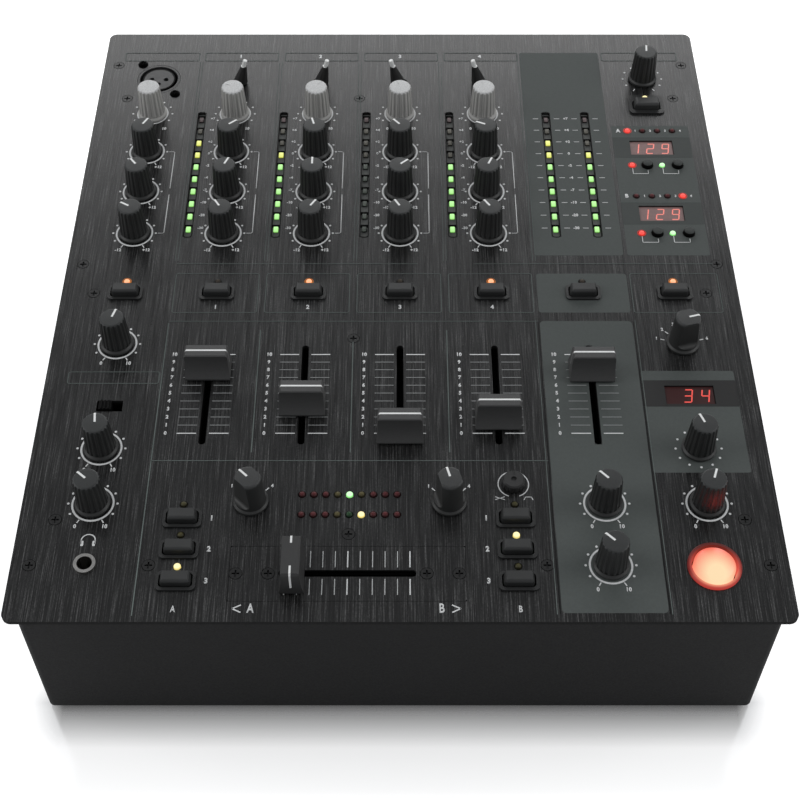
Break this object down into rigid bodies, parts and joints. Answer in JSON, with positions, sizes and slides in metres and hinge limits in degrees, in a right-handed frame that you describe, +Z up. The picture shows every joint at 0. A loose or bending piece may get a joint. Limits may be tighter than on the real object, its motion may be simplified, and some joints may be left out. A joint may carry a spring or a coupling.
{
  "type": "dj mixer",
  "caption": "Tabletop DJ mixer: fluted rotary knobs, upright faders, a crossfader, push buttons, toggles, level meters and rear sockets on a flat-topped steel case.",
  "frame": {"origin": "on the table, under the middle of the control plate's outline, at the bottom of the rubber feet", "axes": "+X to the user's right, +Y from the user towards the rear panel, +Z up; the crossfader is at the front, -Y"},
  "size_m": [0.32, 0.37, 0.1027],
  "materials": {
    "plate": "satin, brushed front to back",
    "case": "fine satin",
    "board": "solder-masked",
    "metal_parts": "plain",
    "supply": "mixed parts",
    "lamps": "tinted, translucent",
    "window": "smoked",
    "black_plastic": "satin",
    "socket_metal": "plated",
    "screw": "blackened",
    "foot": "matt",
    "grey_knob": "satin grey with a pale top",
    "black_knob": "satin",
    "lever": "black with a white tip",
    "fader_cap": "satin",
    "button": "soft satin",
    "glowing_button": "lit from inside"
  },
  "bodies": {
    "body": {"top_plate": "plate", "crossfader_plate": "plate", "bottom_case": "case", "circuit_boards": "board", "control_bodies": "metal_parts", "power_supply": "supply", "indicator_lamps": "lamps", "display_windows": "window", "button_bezels": "black_plastic", "sockets": "socket_metal", "screws": "screw", "rubber_feet": "foot"},
    "mic_level_knob": {"mic_level_knob": "grey_knob"},
    "mic_high_knob": {"mic_high_knob": "black_knob"},
    "mic_mid_knob": {"mic_mid_knob": "black_knob"},
    "mic_low_knob": {"mic_low_knob": "black_knob"},
    "ch1_gain_knob": {"ch1_gain_knob": "grey_knob"},
    "ch1_high_knob": {"ch1_high_knob": "black_knob"},
    "ch1_mid_knob": {"ch1_mid_knob": "black_knob"},
    "ch1_low_knob": {"ch1_low_knob": "black_knob"},
    "ch2_gain_knob": {"ch2_gain_knob": "grey_knob"},
    "ch2_high_knob": {"ch2_high_knob": "black_knob"},
    "ch2_mid_knob": {"ch2_mid_knob": "black_knob"},
    "ch2_low_knob": {"ch2_low_knob": "black_knob"},
    "ch3_gain_knob": {"ch3_gain_knob": "grey_knob"},
    "ch3_high_knob": {"ch3_high_knob": "black_knob"},
    "ch3_mid_knob": {"ch3_mid_knob": "black_knob"},
    "ch3_low_knob": {"ch3_low_knob": "black_knob"},
    "ch4_gain_knob": {"ch4_gain_knob": "grey_knob"},
    "ch4_high_knob": {"ch4_high_knob": "black_knob"},
    "ch4_mid_knob": {"ch4_mid_knob": "black_knob"},
    "ch4_low_knob": {"ch4_low_knob": "black_knob"},
    "width_knob": {"width_knob": "black_knob"},
    "talkover_knob": {"talkover_knob": "black_knob"},
    "monitor_mix_knob": {"monitor_mix_knob": "black_knob"},
    "monitor_level_knob": {"monitor_level_knob": "black_knob"},
    "balance_knob": {"balance_knob": "black_knob"},
    "booth_knob": {"booth_knob": "black_knob"},
    "parameter_knob": {"parameter_knob": "black_knob"},
    "effect_level_knob": {"effect_level_knob": "black_knob"},
    "curve_knob": {"curve_knob": "black_knob"},
    "assign_a_knob": {"assign_a_knob": "black_knob"},
    "assign_b_knob": {"assign_b_knob": "black_knob"},
    "source_knob": {"source_knob": "black_knob"},
    "ch1_input_lever": {"ch1_input_lever": "lever"},
    "ch2_input_lever": {"ch2_input_lever": "lever"},
    "ch3_input_lever": {"ch3_input_lever": "lever"},
    "ch4_input_lever": {"ch4_input_lever": "lever"},
    "ch1_fader": {"ch1_fader": "fader_cap"},
    "ch2_fader": {"ch2_fader": "fader_cap"},
    "ch3_fader": {"ch3_fader": "fader_cap"},
    "ch4_fader": {"ch4_fader": "fader_cap"},
    "main_fader": {"main_fader": "fader_cap"},
    "crossfader": {"crossfader": "fader_cap"},
    "mode_slider": {"mode_slider": "black_plastic"},
    "power_rocker": {"power_rocker": "black_plastic"},
    "cue_buttons": {"cue_buttons": "button"},
    "kill_buttons": {"kill_buttons": "button"},
    "beat_buttons": {"beat_buttons": "black_plastic"},
    "effect_button": {"effect_button": "glowing_button"}
  },
  "joints": [
    {"name": "mic_level_turn", "type": "hinge", "parent": "body", "child": "mic_level_knob", "pos_m": [-0.1299, 0.119, 0.084], "axis": [0, 0, 1], "range_deg": [-165, 135]},
    {"name": "mic_high_turn", "type": "hinge", "parent": "body", "child": "mic_high_knob", "pos_m": [-0.1299, 0.0898, 0.084], "axis": [0, 0, 1], "range_deg": [-122, 178]},
    {"name": "mic_mid_turn", "type": "hinge", "parent": "body", "child": "mic_mid_knob", "pos_m": [-0.1299, 0.06065, 0.084], "axis": [0, 0, 1], "range_deg": [-187, 113]},
    {"name": "mic_low_turn", "type": "hinge", "parent": "body", "child": "mic_low_knob", "pos_m": [-0.1299, 0.0315, 0.084], "axis": [0, 0, 1], "range_deg": [-209, 91]},
    {"name": "ch1_gain_turn", "type": "hinge", "parent": "body", "child": "ch1_gain_knob", "pos_m": [-0.0866, 0.119, 0.084], "axis": [0, 0, 1], "range_deg": [-219, 81]},
    {"name": "ch1_high_turn", "type": "hinge", "parent": "body", "child": "ch1_high_knob", "pos_m": [-0.0866, 0.0898, 0.084], "axis": [0, 0, 1], "range_deg": [-100, 200]},
    {"name": "ch1_mid_turn", "type": "hinge", "parent": "body", "child": "ch1_mid_knob", "pos_m": [-0.0866, 0.06065, 0.084], "axis": [0, 0, 1], "range_deg": [-128, 172]},
    {"name": "ch1_low_turn", "type": "hinge", "parent": "body", "child": "ch1_low_knob", "pos_m": [-0.0866, 0.0315, 0.084], "axis": [0, 0, 1], "range_deg": [-182, 118]},
    {"name": "ch2_gain_turn", "type": "hinge", "parent": "body", "child": "ch2_gain_knob", "pos_m": [-0.0433, 0.119, 0.084], "axis": [0, 0, 1], "range_deg": [-108, 192]},
    {"name": "ch2_high_turn", "type": "hinge", "parent": "body", "child": "ch2_high_knob", "pos_m": [-0.0433, 0.0898, 0.084], "axis": [0, 0, 1], "range_deg": [-165, 135]},
    {"name": "ch2_mid_turn", "type": "hinge", "parent": "body", "child": "ch2_mid_knob", "pos_m": [-0.0433, 0.06065, 0.084], "axis": [0, 0, 1], "range_deg": [-150, 150]},
    {"name": "ch2_low_turn", "type": "hinge", "parent": "body", "child": "ch2_low_knob", "pos_m": [-0.0433, 0.0315, 0.084], "axis": [0, 0, 1], "range_deg": [-118, 182]},
    {"name": "ch3_gain_turn", "type": "hinge", "parent": "body", "child": "ch3_gain_knob", "pos_m": [0, 0.119, 0.084], "axis": [0, 0, 1], "range_deg": [-178, 122]},
    {"name": "ch3_high_turn", "type": "hinge", "parent": "body", "child": "ch3_high_knob", "pos_m": [0, 0.0898, 0.084], "axis": [0, 0, 1], "range_deg": [-190, 110]},
    {"name": "ch3_mid_turn", "type": "hinge", "parent": "body", "child": "ch3_mid_knob", "pos_m": [0, 0.06065, 0.084], "axis": [0, 0, 1], "range_deg": [-102, 198]},
    {"name": "ch3_low_turn", "type": "hinge", "parent": "body", "child": "ch3_low_knob", "pos_m": [0, 0.0315, 0.084], "axis": [0, 0, 1], "range_deg": [-180, 120]},
    {"name": "ch4_gain_turn", "type": "hinge", "parent": "body", "child": "ch4_gain_knob", "pos_m": [0.0433, 0.119, 0.084], "axis": [0, 0, 1], "range_deg": [-172, 128]},
    {"name": "ch4_high_turn", "type": "hinge", "parent": "body", "child": "ch4_high_knob", "pos_m": [0.0433, 0.0898, 0.084], "axis": [0, 0, 1], "range_deg": [-216, 84]},
    {"name": "ch4_mid_turn", "type": "hinge", "parent": "body", "child": "ch4_mid_knob", "pos_m": [0.0433, 0.06065, 0.084], "axis": [0, 0, 1], "range_deg": [-127, 173]},
    {"name": "ch4_low_turn", "type": "hinge", "parent": "body", "child": "ch4_low_knob", "pos_m": [0.0433, 0.0315, 0.084], "axis": [0, 0, 1], "range_deg": [-183, 117]},
    {"name": "width_turn", "type": "hinge", "parent": "body", "child": "width_knob", "pos_m": [0.13, 0.147, 0.084], "axis": [0, 0, 1], "range_deg": [-145, 155]},
    {"name": "talkover_turn", "type": "hinge", "parent": "body", "child": "talkover_knob", "pos_m": [-0.1299, -0.0396, 0.084], "axis": [0, 0, 1], "range_deg": [-134, 166]},
    {"name": "monitor_mix_turn", "type": "hinge", "parent": "body", "child": "monitor_mix_knob", "pos_m": [-0.1299, -0.0991, 0.084], "axis": [0, 0, 1], "range_deg": [-156, 144]},
    {"name": "monitor_level_turn", "type": "hinge", "parent": "body", "child": "monitor_level_knob", "pos_m": [-0.1299, -0.1281, 0.084], "axis": [0, 0, 1], "range_deg": [-199, 101]},
    {"name": "balance_turn", "type": "hinge", "parent": "body", "child": "balance_knob", "pos_m": [0.0866, -0.1281, 0.084], "axis": [0, 0, 1], "range_deg": [-193, 107]},
    {"name": "booth_turn", "type": "hinge", "parent": "body", "child": "booth_knob", "pos_m": [0.0866, -0.1586, 0.084], "axis": [0, 0, 1], "range_deg": [-195, 105]},
    {"name": "parameter_turn", "type": "hinge", "parent": "body", "child": "parameter_knob", "pos_m": [0.1299, -0.0992, 0.084], "axis": [0, 0, 1], "continuous": true},
    {"name": "effect_level_turn", "type": "hinge", "parent": "body", "child": "effect_level_knob", "pos_m": [0.1299, -0.1281, 0.084], "axis": [0, 0, 1], "range_deg": [-131, 169]},
    {"name": "curve_turn", "type": "hinge", "parent": "body", "child": "curve_knob", "pos_m": [0.0484, -0.1181, 0.084], "axis": [0, 0, 1], "range_deg": [-150, 150]},
    {"name": "assign_a_turn", "type": "hinge", "parent": "body", "child": "assign_a_knob", "pos_m": [-0.0631, -0.1272, 0.084], "axis": [0, 0, 1], "range_deg": [-90, 0]},
    {"name": "assign_b_turn", "type": "hinge", "parent": "body", "child": "assign_b_knob", "pos_m": [0.0208, -0.1274, 0.084], "axis": [0, 0, 1], "range_deg": [-60, 30]},
    {"name": "source_turn", "type": "hinge", "parent": "body", "child": "source_knob", "pos_m": [0.1299, -0.0393, 0.084], "axis": [0, 0, 1], "range_deg": [0, 150]},
    {"name": "ch1_input_flip", "type": "hinge", "parent": "body", "child": "ch1_input_lever", "pos_m": [-0.0866, 0.1435, 0.08], "axis": [0, 1, 0], "range_deg": [-28, 0]},
    {"name": "ch2_input_flip", "type": "hinge", "parent": "body", "child": "ch2_input_lever", "pos_m": [-0.0433, 0.1435, 0.08], "axis": [0, 1, 0], "range_deg": [-28, 0]},
    {"name": "ch3_input_flip", "type": "hinge", "parent": "body", "child": "ch3_input_lever", "pos_m": [0, 0.1435, 0.08], "axis": [0, 1, 0], "range_deg": [0, 28]},
    {"name": "ch4_input_flip", "type": "hinge", "parent": "body", "child": "ch4_input_lever", "pos_m": [0.0433, 0.1435, 0.08], "axis": [0, 1, 0], "range_deg": [0, 28]},
    {"name": "ch1_fader_slide", "type": "slide", "parent": "body", "child": "ch1_fader", "axis": [0, 1, 0], "range_m": [-0.03555, 0.00945]},
    {"name": "ch2_fader_slide", "type": "slide", "parent": "body", "child": "ch2_fader", "axis": [0, 1, 0], "range_m": [-0.0153, 0.0297]},
    {"name": "ch3_fader_slide", "type": "slide", "parent": "body", "child": "ch3_fader", "axis": [0, 1, 0], "range_m": [0, 0.045]},
    {"name": "ch4_fader_slide", "type": "slide", "parent": "body", "child": "ch4_fader", "axis": [0, 1, 0], "range_m": [-0.00765, 0.03735]},
    {"name": "main_fader_slide", "type": "slide", "parent": "body", "child": "main_fader", "axis": [0, 1, 0], "range_m": [-0.03465, 0.01035]},
    {"name": "crossfader_slide", "type": "slide", "parent": "body", "child": "crossfader", "axis": [1, 0, 0], "range_m": [0, 0.045]},
    {"name": "mode_slide", "type": "slide", "parent": "body", "child": "mode_slider", "axis": [1, 0, 0], "range_m": [0, 0.004]},
    {"name": "power_rock", "type": "hinge", "parent": "body", "child": "power_rocker", "pos_m": [-0.09, 0.1752, 0.04], "axis": [1, 0, 0], "range_deg": [0, 16]},
    {"name": "cue_press", "type": "slide", "parent": "body", "child": "cue_buttons", "axis": [0, 0, -1], "range_m": [0, 0.0012], "stiffness_N_per_m": 250},
    {"name": "kill_press", "type": "slide", "parent": "body", "child": "kill_buttons", "axis": [0, 0, -1], "range_m": [0, 0.0012], "stiffness_N_per_m": 250},
    {"name": "beat_press", "type": "slide", "parent": "body", "child": "beat_buttons", "axis": [0, 0, -1], "range_m": [0, 0.0012], "stiffness_N_per_m": 250},
    {"name": "effect_press", "type": "slide", "parent": "body", "child": "effect_button", "axis": [0, 0, -1], "range_m": [0, 0.0015], "stiffness_N_per_m": 250}
  ]
}
